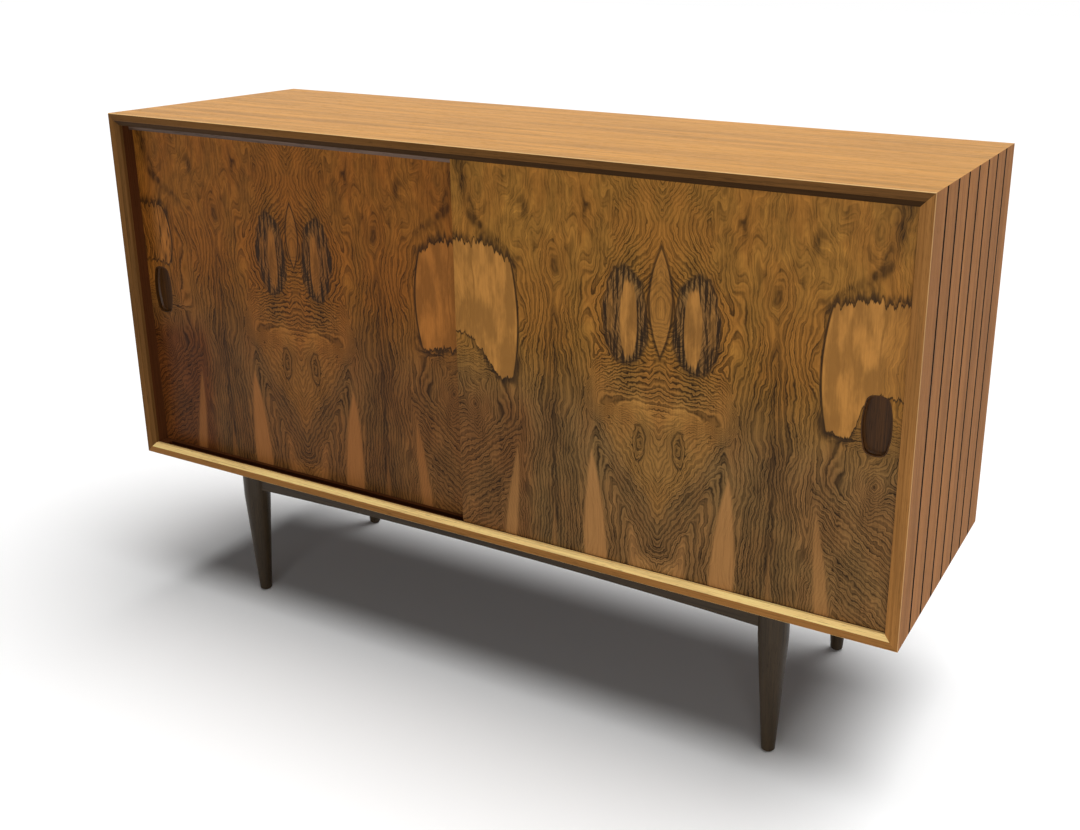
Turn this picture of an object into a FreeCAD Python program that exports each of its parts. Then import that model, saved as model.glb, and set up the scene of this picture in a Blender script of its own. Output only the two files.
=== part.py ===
import FreeCAD
import Part

import math
import os

import Sketcher
from FreeCAD import Placement, Rotation, Vector

# Sideboard with two sliding doors that pass each other, on a base of turned legs and arched rails.
# Millimetres. The origin is on the floor under the middle of the case, the front faces -Y, up is +Z.

SIZES = {
    # Case: four boards of one moulded section, mitred at the corners
    "case_length": 1220,
    "case_depth": 389,
    "case_height": 535,
    "board_thickness": 17,
    "front_band": 9,
    "chamfer_depth": 4,
    "arris": 1,
    "rebate_width": 9,
    "rebate_depth": 6,
    # Kerfs down the outside of the side boards
    "kerf_width": 4,
    "kerf_depth": 4.5,
    # Splines across the mitres, stopped short of the tracks and of the rebate
    "spline_inset": 5.7,
    "spline_thickness": 3,
    "spline_width": 10,
    "spline_track_gap": 11,
    "spline_rebate_gap": 20,
    "spline_clearance": 0.1,
    # Door tracks in the top and bottom boards
    "track_setback": 9.5,
    "groove_width": 11,
    "track_rib": 5,
    "bottom_groove_depth": 6,
    "top_groove_depth": 9.5,
    "groove_stop": 17,
    "upper_rib_drop": 8,
    "upper_rib_seat": 3,
    # Doors
    "door_thickness": 10,
    "door_overlap": 8,
    "door_wall_gap": 0.5,
    "door_lift_gap": 0.3,
    "door_top_lap": 3,
    "veneer_thickness": 0.7,
    "lipping_width": 6,
    # Finger pull: a barrel-shaped cup let into the door
    "pull_width": 36,
    "pull_height": 73,
    "pull_side_radius": 110,
    "pull_end_radius": 28,
    "pull_corner_radius": 10,
    "pull_edge_distance": 29,
    "pull_recess": 6.5,
    "pull_wall": 1.5,
    "pull_floor": 1.5,
    "pull_floor_bevel": 2,
    "pull_clearance": 0.1,
    # Centre divider and shelves
    "divider_track_gap": 3,
    "housing_depth": 4,
    "shelf_thickness": 14,
    "shelf_lipping": 6,
    "shelf_housing": 5,
    "shelf_clearance": 0.1,
    "shelf_front_setback": 25,
    "shelf_back_gap": 3,
    # Back panel
    "back_thickness": 4,
    "back_gap": 0.5,
    # Base: legs, rails with tenons and corner blocks
    "leg_height": 227,
    "leg_side_inset": 172,
    "leg_front_inset": 57,
    "leg_top_diameter": 40,
    "leg_foot_diameter": 17.8,
    "leg_straight_below_rail": 11.5,
    "leg_tip": 3,
    "rail_thickness": 18,
    "rail_depth": 45.5,
    "long_rail_rise": 8,
    "short_rail_rise": 5,
    "tenon_length": 12,
    "tenon_thickness": 8,
    "tenon_shoulder": 9,
    "tenon_clearance": 0.2,
    "scribe_clearance": 0.1,
    "block_thickness": 25,
    "block_reach": 60,
    "block_leg_gap": 7.5,
    # Shared by all cuts that run out past a face
    "overrun": 5,
}

KERFS = 7

# Places worked out from the sizes, as expressions on the sheet
HALF_LENGTH = "(size.case_length / 2)"
HALF_DEPTH = "(size.case_depth / 2)"
HALF_BOARD = "(size.board_thickness / 2)"
INSIDE_HALF = "(size.case_length / 2 - size.board_thickness)"
INSIDE_TOP = "(size.case_height - size.board_thickness)"
REBATE_FLOOR = "(size.case_depth - size.rebate_depth)"
RIB_FRONT = "(size.track_setback + size.groove_width)"
BACK_GROOVE = f"({RIB_FRONT} + size.track_rib)"
TRACKS_END = f"({BACK_GROOVE} + size.groove_width)"
DIVIDER_FRONT = f"({TRACKS_END} + size.divider_track_gap)"
GROOVE_END = f"({INSIDE_HALF} - size.groove_stop)"
SPLINE_FRONT = f"({TRACKS_END} + size.spline_track_gap)"
SPLINE_BACK = f"({REBATE_FLOOR} - size.spline_rebate_gap)"

DOOR_WIDTH = f"({INSIDE_HALF} - size.door_wall_gap + size.door_overlap / 2)"
DOOR_HEIGHT = f"({INSIDE_TOP} - size.board_thickness + size.bottom_groove_depth" \
              " - size.door_lift_gap + size.door_top_lap)"
DOOR_BOTTOM = "(size.board_thickness - size.bottom_groove_depth + size.door_lift_gap)"

SHELF_FRONT = f"({DIVIDER_FRONT} + size.shelf_front_setback)"
SHELF_DEPTH = f"({REBATE_FLOOR} - size.shelf_back_gap - {SHELF_FRONT})"
SHELF_END = f"({HALF_BOARD} - size.shelf_housing + size.shelf_clearance)"
SHELF_LENGTH = f"({INSIDE_HALF} + size.shelf_housing - size.shelf_clearance - {SHELF_END})"
SHELF_SEAT = "(size.shelf_thickness / 2 + size.shelf_clearance)"

LEG_RADIUS = "(size.leg_top_diameter / 2)"
LEG_ACROSS = f"({HALF_LENGTH} - size.leg_side_inset)"
LEG_BACK = f"({HALF_DEPTH} - size.leg_front_inset)"
HALF_RAIL = "(size.rail_thickness / 2)"
TENON_LOW = "(size.leg_height - size.rail_depth + size.tenon_shoulder)"
TENON_HIGH = "(size.leg_height - size.tenon_shoulder)"

# Leg corners as names, the signs of their places and the turn that brings the front left corner there
CORNERS = (("front_left", -1, -1, 0), ("front_right", 1, -1, 90),
           ("back_right", 1, 1, 180), ("back_left", -1, 1, 270))

doc = FreeCAD.newDocument("sideboard")
sheet = doc.addObject("Spreadsheet::Sheet", "size")
for row, (alias, number) in enumerate(SIZES.items(), 1):
    sheet.set(f"A{row}", alias)
    sheet.set(f"B{row}", str(number))
    sheet.setAlias(f"B{row}", alias)
doc.recompute()

subparts = []


def value(expression):
    """What an expression on the sheet comes to now."""
    return float(sheet.evalExpression(expression))


def kept(piece):
    """Mark an object as a sub-part of the sideboard."""
    subparts.append(piece)
    return piece


def place(piece, across, back, up, turn=0, axis=Vector(0, 0, 1)):
    """Turn a piece about one of its own axes and put its origin at a place given by expressions."""
    piece.Placement = Placement(Vector(), Rotation(axis, turn))
    for letter, expression in zip("xyz", (across, back, up)):
        piece.setExpression(f".Placement.Base.{letter}", expression)


# Shapes drawn in sketches

def bind(sketch, kind, where, expression):
    """Add one dimension and tie it to the sheet."""
    index = sketch.addConstraint(Sketcher.Constraint(kind, *where, value(expression)))
    sketch.setExpression(f"Constraints[{index}]", expression)


def pin_down(sketch, line, end, across, up):
    """Tie a point of the sketch to its two coordinates."""
    bind(sketch, "DistanceX", (-1, 1, line, end), across)
    bind(sketch, "DistanceY", (-1, 1, line, end), up)


def polygon(*corners):
    """A closed outline, drawn anticlockwise through corners (across, up). A corner (across, up, bend, radius)
    starts an arc, whose bend is outward or inward."""
    def draw(sketch):
        joints = []
        for index, corner in enumerate(corners):
            following = corners[(index + 1) % len(corners)]
            start = Vector(value(corner[0]), value(corner[1]))
            end = Vector(value(following[0]), value(following[1]))
            if len(corner) == 2:
                joints.append((sketch.addGeometry(Part.LineSegment(start, end)), 1, 2))
                continue
            # An inward arc is drawn from its end back to its start, as sketches hold arcs anticlockwise
            inward = corner[2] == "inward"
            first, last = (end, start) if inward else (start, end)
            radius = value(corner[3])
            chord = last - first
            left = Vector(-chord.y, chord.x).normalize()
            centre = (first + last) / 2 + left * math.sqrt(radius ** 2 - chord.Length ** 2 / 4)
            angles = [math.atan2(point.y - centre.y, point.x - centre.x) for point in (first, last)]
            round_shape = Part.Circle(centre, Vector(0, 0, 1), radius)
            line = sketch.addGeometry(Part.ArcOfCircle(round_shape, *angles))
            joints.append((line, 2, 1) if inward else (line, 1, 2))
        for index, (line, first, last) in enumerate(joints):
            after, after_first, _ = joints[(index + 1) % len(joints)]
            sketch.addConstraint(Sketcher.Constraint("Coincident", line, last, after, after_first))
            pin_down(sketch, line, first, *corners[index][:2])
            if len(corners[index]) > 2:
                bind(sketch, "Radius", (line,), corners[index][3])
    return draw


def rectangle(left, low, right, high):
    """An upright rectangle between two opposite corners."""
    return polygon((left, low), (right, low), (right, high), (left, high))


def circle(across, up, radius):
    """A circle about a point."""
    def draw(sketch):
        shape = Part.Circle(Vector(value(across), value(up)), Vector(0, 0, 1), value(radius))
        line = sketch.addGeometry(shape)
        pin_down(sketch, line, 3, across, up)
        bind(sketch, "Radius", (line,), radius)
    return draw


def barrel(across, up, grow):
    """The pull's barrel outline about a point, grown outwards: two long side arcs and two end arcs,
    joined by corner arcs that are tangent to both."""
    names = {key: f"(size.pull_{key}_radius + {grow})" for key in ("side", "end", "corner")}
    side_offset = f"({names['side']} - size.pull_width / 2 - {grow})"
    end_offset = f"({names['end']} - size.pull_height / 2 - {grow})"

    def draw(sketch):
        middle = Vector(value(across), value(up))
        side, end, corner = (value(names[key]) for key in ("side", "end", "corner"))
        side_centre = Vector(-value(side_offset), 0)
        end_centre = Vector(0, -value(end_offset))
        # The corner arc's centre, from its distances to the side arc's centre and the end arc's
        apart = end_centre - side_centre
        along = ((side - corner) ** 2 - (end - corner) ** 2 + apart.Length ** 2) / (2 * apart.Length)
        aside = math.sqrt((side - corner) ** 2 - along ** 2)
        ahead = Vector(apart).normalize()
        corner_centre = side_centre + ahead * along + Vector(-ahead.y, ahead.x) * aside
        side_end = side_centre + (corner_centre - side_centre).normalize() * side
        end_end = end_centre + (corner_centre - end_centre).normalize() * end
        # The right side arc and the corner above it, then the same again round the outline
        quarter = [(side_centre, side, (side_end.x, -side_end.y), tuple(side_end)[:2]),
                   (corner_centre, corner, tuple(side_end)[:2], tuple(end_end)[:2]),
                   (end_centre, end, tuple(end_end)[:2], (-end_end.x, end_end.y)),
                   (Vector(-corner_centre.x, corner_centre.y), corner,
                    (-end_end.x, end_end.y), (-side_end.x, side_end.y))]
        arcs = quarter + [(-centre, radius, (-first[0], -first[1]), (-last[0], -last[1]))
                          for centre, radius, first, last in quarter]
        for centre, radius, first, last in arcs:
            start, stop = (math.atan2(point[1] - centre.y, point[0] - centre.x) for point in (first, last))
            if stop < start:
                stop += math.tau
            round_shape = Part.Circle(middle + centre, Vector(0, 0, 1), radius)
            sketch.addGeometry(Part.ArcOfCircle(round_shape, start, stop))
        for index in range(len(arcs)):
            after = (index + 1) % len(arcs)
            sketch.addConstraint(Sketcher.Constraint("Tangent", index, 2, after, 1))
            bind(sketch, "Radius", (index,), names[("side", "corner", "end", "corner")[index % 4]])
        pin_down(sketch, 0, 3, f"{across} - {side_offset}", up)
        pin_down(sketch, 2, 3, across, f"{up} - {end_offset}")
        pin_down(sketch, 4, 3, f"{across} + {side_offset}", up)
        pin_down(sketch, 6, 3, across, f"{up} + {end_offset}")
    return draw


# Features of a body

def new_body(label):
    """An empty body."""
    return doc.addObject("PartDesign::Body", label)


def outline(body, name, plane, offset, *shapes):
    """A sketch on one of the body's own planes, moved along that plane's axis to the offset."""
    sketch = body.newObject("Sketcher::SketchObject", name)
    support = next(item for item in body.Origin.OriginFeatures if item.Role == plane)
    sketch.AttachmentSupport = [(support, "")]
    sketch.MapMode = "FlatFace"
    facing = "-" if plane == "XZ_Plane" else ""
    sketch.setExpression("AttachmentOffset.Base.z", f"{facing}({offset})")
    for draw in shapes:
        draw(sketch)
    return sketch


def extrude(body, kind, name, plane, low, high, *shapes):
    """Pad or pocket the shapes, from low to high along the plane's axis."""
    feature_sketch = outline(body, f"{name}_outline", plane, low, *shapes)
    feature = body.newObject(f"PartDesign::{kind}", name)
    feature.Profile = feature_sketch
    feature.setExpression("Length", f"({high}) - ({low})")
    feature.Reversed = (kind == "Pocket") == (plane != "XZ_Plane")
    body.Tip = feature


def pad(body, name, plane, low, high, *shapes):
    """Add material."""
    extrude(body, "Pad", name, plane, low, high, *shapes)


def pocket(body, name, plane, low, high, *shapes):
    """Cut material away."""
    extrude(body, "Pocket", name, plane, low, high, *shapes)


def turned(body, name, profile):
    """Revolve a half profile about the body's own upright axis."""
    sketch = outline(body, f"{name}_profile", "XZ_Plane", "0", profile)
    feature = body.newObject("PartDesign::Revolution", name)
    feature.Profile = sketch
    feature.ReferenceAxis = (sketch, ["V_Axis"])
    body.Tip = feature


def bevel(body, name, size, chosen):
    """Bevel the edges of the body's present shape that are chosen by a test."""
    doc.recompute()
    base = body.Tip
    edges = [f"Edge{number}" for number, edge in enumerate(base.Shape.Edges, 1) if chosen(edge)]
    feature = body.newObject("PartDesign::Chamfer", name)
    feature.Base = (base, edges)
    feature.setExpression("Size", size)
    body.Tip = feature


def plain_box(label, across, back, up, length, width, height):
    """A plain rectangular piece, placed by its low corner."""
    piece = doc.addObject("Part::Box", label)
    piece.setExpression("Length", length)
    piece.setExpression("Width", width)
    piece.setExpression("Height", height)
    place(piece, across, back, up)
    return kept(piece)


# Case boards, drawn lying on their outer face with the front edge at the origin, and then turned into place

def case_board(label, length, turn, across, up):
    """A board of the moulded section with both ends mitred and slotted for splines."""
    body = kept(new_body(label))
    place(body, across, f"-{HALF_DEPTH}", up, turn, Vector(0, 1, 0))
    half = f"({length} / 2)"
    section = polygon(("0", "size.arris"), ("size.arris", "0"), ("size.case_depth", "0"),
                      ("size.case_depth", "size.board_thickness - size.rebate_width"),
                      (REBATE_FLOOR, "size.board_thickness - size.rebate_width"),
                      (REBATE_FLOOR, "size.board_thickness"),
                      ("size.chamfer_depth", "size.board_thickness"), ("0", "size.front_band"))
    pad(body, "moulding", "YZ_Plane", f"-{half}", half, section)

    inner_end = f"({half} - size.board_thickness - size.overrun)"
    outer_end = f"({half} + size.overrun)"
    above = "(size.board_thickness + size.overrun)"
    pocket(body, "mitres", "XZ_Plane", "-size.overrun", "size.case_depth + size.overrun",
           polygon((outer_end, "-size.overrun"), (outer_end, above), (inner_end, above)),
           polygon((f"-{outer_end}", "-size.overrun"), (f"-{inner_end}", above), (f"-{outer_end}", above)))

    # The slot's half thickness and depth, each measured along the board because the slot lies at 45 degrees
    side = "((size.spline_thickness / 2 + size.spline_clearance) / sqrt(2))"
    deep = "((size.spline_width / 2 + size.spline_clearance) / sqrt(2))"
    middle = f"({half} - size.board_thickness + size.spline_inset)"
    level = "(size.board_thickness - size.spline_inset)"
    slot = [(f"{middle} - {side} - {deep}", f"{level} + {side} - {deep}"),
            (f"{middle} + {side} - {deep}", f"{level} - {side} - {deep}"),
            (f"{middle} + {side} + size.overrun", f"{level} - {side} + size.overrun"),
            (f"{middle} - {side} + size.overrun", f"{level} + {side} + size.overrun")]
    pocket(body, "spline_slots", "XZ_Plane", f"{SPLINE_FRONT} - size.spline_clearance",
           f"{SPLINE_BACK} + size.spline_clearance",
           polygon(*slot), polygon(*[(f"-({x})", z) for x, z in reversed(slot)]))
    return body


def inner_cut(body, name, depth, left, front, right, back):
    """A rectangular groove or housing cut into a case board's inner face."""
    pocket(body, name, "XY_Plane", f"size.board_thickness - {depth}", "size.board_thickness + size.overrun",
           rectangle(left, front, right, back))


def door_grooves(body, depth, toward):
    """The two door grooves. The front one is stopped at the left and the back one at the right, where
    toward is the sign of the board's own length axis along the case's."""
    runs_out = f"({HALF_LENGTH} + size.overrun)"
    low, high = f"-{GROOVE_END}", runs_out
    if toward < 0:
        low, high = f"-{runs_out}", GROOVE_END
    inner_cut(body, "front_groove", depth, low, "size.track_setback", high, RIB_FRONT)
    inner_cut(body, "back_groove", depth, f"-({high})", BACK_GROOVE, f"-({low})", TRACKS_END)


def divider_housing(body):
    """The stopped housing for the divider, which runs out at the rebate."""
    inner_cut(body, "divider_housing", "size.housing_depth", f"-{HALF_BOARD}", DIVIDER_FRONT,
              HALF_BOARD, "size.case_depth + size.overrun")


def make_bottom_panel():
    """The bottom board, with its tracks and the divider's housing."""
    body = case_board("bottom_panel", "size.case_length", 0, "0", "size.leg_height")
    door_grooves(body, "size.bottom_groove_depth", 1)
    divider_housing(body)


def make_top_panel():
    """The top board: deeper tracks, so that the doors lift out, and the slot of the upper rib."""
    body = case_board("top_panel", "size.case_length", 180, "0", "size.leg_height + size.case_height")
    door_grooves(body, "size.top_groove_depth", -1)
    inner_cut(body, "rib_slot", "(size.top_groove_depth + size.upper_rib_seat)",
              f"-{INSIDE_HALF}", RIB_FRONT, INSIDE_HALF, BACK_GROOVE)
    divider_housing(body)


def make_side_panel(label, side):
    """A side board, with kerfs down its outside and the shelf's housing inside."""
    body = case_board(label, "size.case_height", -90 * side, f"{side} * {HALF_LENGTH}",
                      "size.leg_height + size.case_height / 2")
    kerfs = [f"({number} * size.case_depth / {KERFS + 1})" for number in range(1, KERFS + 1)]
    reach = "(size.case_height / 2 + size.overrun)"
    pocket(body, "kerfs", "YZ_Plane", f"-{reach}", reach,
           *[rectangle(f"{kerf} - size.kerf_width / 2", "-size.overrun",
                       f"{kerf} + size.kerf_width / 2", "size.kerf_depth") for kerf in kerfs])
    inner_cut(body, "shelf_housing", "size.shelf_housing", f"-{SHELF_SEAT}", SHELF_FRONT, SHELF_SEAT,
              "size.case_depth + size.overrun")


def make_mitre_splines():
    """One spline across each mitre, square to it."""
    body = kept(new_body("mitre_splines"))
    place(body, "0", f"-{HALF_DEPTH}", "size.leg_height + size.case_height / 2")
    side = "(size.spline_thickness / sqrt(8))"
    deep = "(size.spline_width / sqrt(8))"
    across = f"({INSIDE_HALF} + size.spline_inset)"
    up = "(size.case_height / 2 - size.board_thickness + size.spline_inset)"
    corners = [(f"({across} - {side} - {deep})", f"({up} - {side} + {deep})"),
               (f"({across} - {side} + {deep})", f"({up} - {side} - {deep})"),
               (f"({across} + {side} + {deep})", f"({up} + {side} - {deep})"),
               (f"({across} + {side} - {deep})", f"({up} + {side} + {deep})")]
    splines = [polygon(*[(f"{x_sign} * {x}", f"{z_sign} * {z}") for x, z in
                         (corners if x_sign * z_sign > 0 else reversed(corners))])
               for x_sign in (-1, 1) for z_sign in (-1, 1)]
    pad(body, "splines", "XZ_Plane", SPLINE_FRONT, SPLINE_BACK, *splines)


def make_upper_track_rib():
    """The strip between the doors' tops, glued into the top board."""
    plain_box("upper_track_rib", f"-{INSIDE_HALF}", f"{RIB_FRONT} - {HALF_DEPTH}",
              f"size.leg_height + {INSIDE_TOP} - size.upper_rib_drop",
              f"2 * {INSIDE_HALF}", "size.track_rib",
              "size.upper_rib_drop + size.top_groove_depth + size.upper_rib_seat")


def make_centre_divider():
    """The divider, housed in the top and bottom boards, with a shelf housing in each face."""
    body = kept(new_body("centre_divider"))
    place(body, "0", f"-{HALF_DEPTH}", "size.leg_height + size.case_height / 2")
    half = f"(size.case_height / 2 - size.board_thickness + size.housing_depth)"
    pad(body, "board", "XZ_Plane", DIVIDER_FRONT, REBATE_FLOOR,
        rectangle(f"-{HALF_BOARD}", f"-{half}", HALF_BOARD, half))
    floor = f"({HALF_BOARD} - size.shelf_housing)"
    beyond = f"({HALF_BOARD} + size.overrun)"
    pocket(body, "shelf_housings", "XZ_Plane", SHELF_FRONT, "size.case_depth",
           rectangle(f"-{beyond}", f"-{SHELF_SEAT}", f"-{floor}", SHELF_SEAT),
           rectangle(floor, f"-{SHELF_SEAT}", beyond, SHELF_SEAT))


def make_back_panel():
    """The back, a thin board let into the rebate."""
    lap = "(size.rebate_width - size.back_gap)"
    half_across = f"({INSIDE_HALF} + {lap})"
    low = f"(size.board_thickness - {lap})"
    plain_box("back_panel", f"-{half_across}", f"{REBATE_FLOOR} - {HALF_DEPTH}", f"size.leg_height + {low}",
              f"2 * {half_across}", "size.back_thickness", f"size.case_height - 2 * {low}")


def make_shelves():
    """A shelf in each bay, slid into its housings from the back, with a lipping on its front edge."""
    underside = "size.leg_height + (size.case_height - size.shelf_thickness) / 2"
    for name, low in (("left", f"(-{SHELF_END} - {SHELF_LENGTH})"), ("right", SHELF_END)):
        plain_box(f"{name}_shelf", low, f"{SHELF_FRONT} + size.shelf_lipping - {HALF_DEPTH}", underside,
                  SHELF_LENGTH, f"{SHELF_DEPTH} - size.shelf_lipping", "size.shelf_thickness")
        plain_box(f"{name}_shelf_lipping", low, f"{SHELF_FRONT} - {HALF_DEPTH}", underside,
                  SHELF_LENGTH, "size.shelf_lipping", "size.shelf_thickness")


# Base, measured up from the floor

def make_leg(name, x_sign, y_sign, turn):
    """A turned leg: straight where the rails meet it, then a straight taper to an eased tip."""
    body = kept(new_body(f"{name}_leg"))
    place(body, f"{x_sign} * {LEG_ACROSS}", f"{y_sign} * {LEG_BACK}", "0", turn)
    foot = "(size.leg_foot_diameter / 2)"
    straight_end = "(size.leg_height - size.rail_depth - size.leg_straight_below_rail)"
    tip_radius = f"({foot} + ({LEG_RADIUS} - {foot}) * size.leg_tip / {straight_end})"
    turned(body, "turned_leg", polygon(("0", "0"), (f"{foot} - size.leg_tip", "0"), (tip_radius, "size.leg_tip"),
                                       (LEG_RADIUS, straight_end), (LEG_RADIUS, "size.leg_height"),
                                       ("0", "size.leg_height")))
    for plane, axis_name in (("YZ_Plane", "side"), ("XZ_Plane", "back")):
        half = "(size.tenon_thickness / 2 + size.tenon_clearance)"
        pocket(body, f"{axis_name}_mortise", plane,
               f"{LEG_RADIUS} - size.tenon_length - size.tenon_clearance", f"{LEG_RADIUS} + size.overrun",
               rectangle(f"-{half}", f"{TENON_LOW} - size.tenon_clearance",
                         half, f"{TENON_HIGH} + size.tenon_clearance"))


def make_rail(label, half_span, rise, across, back, turn):
    """A rail with an arched lower edge, its ends scribed to the round legs and tenoned into them."""
    body = kept(new_body(label))
    place(body, across, back, "0", turn)
    end = f"({half_span} - {LEG_RADIUS} / 2)"
    low = "(size.leg_height - size.rail_depth)"
    arch_radius = f"(({end} ^ 2 + {rise} ^ 2) / (2 * {rise}))"
    pad(body, "board", "XZ_Plane", f"-{HALF_RAIL}", HALF_RAIL,
        polygon((f"-{end}", low, "inward", arch_radius), (end, low), (end, "size.leg_height"),
                (f"-{end}", "size.leg_height")))
    scribed = f"({LEG_RADIUS} + size.scribe_clearance)"
    pocket(body, "scribed_ends", "XY_Plane", f"{low} - size.overrun", "size.leg_height + size.overrun",
           circle(half_span, "0", scribed), circle(f"-{half_span}", "0", scribed))
    root = f"({half_span} - {LEG_RADIUS} - size.tenon_thickness)"
    tip = f"({half_span} - {LEG_RADIUS} + size.tenon_length)"
    tenon = rectangle("-size.tenon_thickness / 2", TENON_LOW, "size.tenon_thickness / 2", TENON_HIGH)
    pad(body, "right_tenon", "YZ_Plane", root, tip, tenon)
    pad(body, "left_tenon", "YZ_Plane", f"-{tip}", f"-{root}", tenon)


def make_corner_block(name, x_sign, y_sign, turn):
    """A block glued across the corner behind a leg."""
    body = kept(new_body(f"{name}_corner_block"))
    place(body, f"{x_sign} * {LEG_ACROSS}", f"{y_sign} * {LEG_BACK}",
          "size.leg_height - size.block_thickness", turn)
    far = f"({HALF_RAIL} + size.block_reach)"
    nose = f"(({LEG_RADIUS} + size.block_leg_gap) * sqrt(2) - {HALF_RAIL})"
    pad(body, "block", "XY_Plane", "0", "size.block_thickness",
        polygon((HALF_RAIL, nose), (nose, HALF_RAIL), (far, HALF_RAIL), (HALF_RAIL, far)))


def make_base():
    """Legs, rails and corner blocks."""
    for corner in CORNERS:
        make_leg(*corner)
        make_corner_block(*corner)
    make_rail("front_rail", LEG_ACROSS, "size.long_rail_rise", "0", f"-{LEG_BACK}", 0)
    make_rail("back_rail", LEG_ACROSS, "size.long_rail_rise", "0", LEG_BACK, 0)
    make_rail("left_rail", LEG_BACK, "size.short_rail_rise", f"-{LEG_ACROSS}", "0", 90)
    make_rail("right_rail", LEG_BACK, "size.short_rail_rise", LEG_ACROSS, "0", 90)


# Doors: each lies in its own frame, with x across from its middle, y back from its face and z up

def make_door(name, side, groove):
    """A door of a lipped core between veneers, with two bookmatched leaves on its face and a pull."""
    across = f"{side} * ({INSIDE_HALF} - size.door_wall_gap - {DOOR_WIDTH} / 2)"
    face = f"({groove} + (size.groove_width - size.door_thickness) / 2 - {HALF_DEPTH})"
    foot = f"(size.leg_height + {DOOR_BOTTOM})"
    half = f"({DOOR_WIDTH} / 2)"
    core_half = f"({half} - size.lipping_width)"
    core_back = "(size.door_thickness - size.veneer_thickness)"
    core_thickness = "(size.door_thickness - 2 * size.veneer_thickness)"
    pull_across = f"({side} * ({half} - size.pull_edge_distance))"
    pull_up = f"(size.case_height / 2 - {DOOR_BOTTOM})"
    cup_depth = "(size.pull_recess + size.pull_floor)"
    cup_hole = barrel(pull_across, pull_up, "size.pull_clearance")

    core = kept(new_body(f"{name}_door_core"))
    place(core, across, face, foot)
    pad(core, "board", "XZ_Plane", "size.veneer_thickness", core_back,
        rectangle(f"-{core_half}", "0", core_half, DOOR_HEIGHT))
    pocket(core, "pull_seat", "XZ_Plane", "-size.overrun", f"{cup_depth} + size.pull_clearance", cup_hole)

    lippings = (("outer_lipping", core_half if side > 0 else f"-{half}"),
                ("inner_lipping", f"-{half}" if side > 0 else core_half))
    for lipping, low in lippings:
        plain_box(f"{name}_door_{lipping}", f"{across} + {low}", f"{face} + size.veneer_thickness", foot,
                  "size.lipping_width", core_thickness, DOOR_HEIGHT)

    outer = kept(new_body(f"{name}_door_outer_leaf"))
    place(outer, across, face, foot)
    leaf_ends = ("0", half) if side > 0 else (f"-{half}", "0")
    pad(outer, "leaf", "XZ_Plane", "0", "size.veneer_thickness",
        rectangle(leaf_ends[0], "0", leaf_ends[1], DOOR_HEIGHT))
    pocket(outer, "pull_hole", "XZ_Plane", "-size.overrun", "size.veneer_thickness + size.overrun", cup_hole)
    inner_low = f"-{half}" if side > 0 else "0"
    plain_box(f"{name}_door_inner_leaf", f"{across} + {inner_low}", face, foot,
              half, "size.veneer_thickness", DOOR_HEIGHT)
    plain_box(f"{name}_door_back_veneer", f"{across} - {half}", f"{face} + {core_back}", foot,
              DOOR_WIDTH, "size.veneer_thickness", DOOR_HEIGHT)

    cup = kept(new_body(f"{name}_door_pull"))
    place(cup, across, face, foot)
    pad(cup, "cup", "XZ_Plane", "0", cup_depth, barrel(pull_across, pull_up, "0"))
    pocket(cup, "recess", "XZ_Plane", "-size.overrun", "size.pull_recess",
           barrel(pull_across, pull_up, "-size.pull_wall"))
    bevel(cup, "recess_floor", "size.pull_floor_bevel", on_recess_floor)


def on_recess_floor(edge):
    """Whether an edge of the cup lies in the plane of its recess floor."""
    depth = value("size.pull_recess")
    return abs(edge.BoundBox.YMin - depth) + abs(edge.BoundBox.YMax - depth) < value("size.pull_clearance")


def make_sideboard():
    """Every piece, from the case inwards and then down to the base."""
    make_bottom_panel()
    make_top_panel()
    make_side_panel("left_side_panel", -1)
    make_side_panel("right_side_panel", 1)
    make_mitre_splines()
    make_upper_track_rib()
    make_centre_divider()
    make_back_panel()
    make_shelves()
    make_base()
    make_door("right", 1, "size.track_setback")
    make_door("left", -1, BACK_GROOVE)


def check_model():
    """Stop before anything is written if a feature failed, a cut missed or a shape is unsound."""
    for item in doc.Objects:
        if "Invalid" in item.State or "Error" in item.State:
            raise RuntimeError(f"{item.Label} failed: {item.State}")
        if item.TypeId == "PartDesign::Pocket" and item.Shape.Volume >= item.BaseFeature.Shape.Volume:
            raise RuntimeError(f"{item.Label} cuts nothing")
    for piece in subparts:
        if piece.Shape.isNull() or not piece.Shape.isValid() or not piece.Shape.Solids:
            raise RuntimeError(f"{piece.Label} has no sound solid")


def write_parts():
    """One STEP file for each sub-part, under its own name."""
    os.makedirs("parts", exist_ok=True)
    for piece in subparts:
        piece.Shape.exportStep(f"parts/{piece.Label}.step")
        print(piece.Label, len(piece.Shape.Solids), "solids", round(piece.Shape.Volume), "mm3")


make_sideboard()
doc.recompute()
check_model()
write_parts()
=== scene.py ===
"""Low sideboard: finishes, small fasteners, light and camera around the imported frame."""
import functools
import math
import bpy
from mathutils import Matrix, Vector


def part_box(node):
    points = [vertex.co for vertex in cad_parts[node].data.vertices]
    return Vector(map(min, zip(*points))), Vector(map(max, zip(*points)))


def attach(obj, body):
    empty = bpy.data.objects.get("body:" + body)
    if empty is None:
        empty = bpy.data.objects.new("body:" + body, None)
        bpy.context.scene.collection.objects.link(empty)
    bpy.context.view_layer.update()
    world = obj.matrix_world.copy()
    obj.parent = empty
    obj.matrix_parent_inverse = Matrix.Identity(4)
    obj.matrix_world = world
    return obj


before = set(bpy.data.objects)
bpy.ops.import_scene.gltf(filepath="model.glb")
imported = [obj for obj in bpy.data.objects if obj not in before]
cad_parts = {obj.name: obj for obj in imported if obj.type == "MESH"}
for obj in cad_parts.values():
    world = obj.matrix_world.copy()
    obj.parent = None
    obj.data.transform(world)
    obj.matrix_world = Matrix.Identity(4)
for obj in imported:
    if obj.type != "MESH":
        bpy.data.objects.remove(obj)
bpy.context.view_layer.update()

import types

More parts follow.
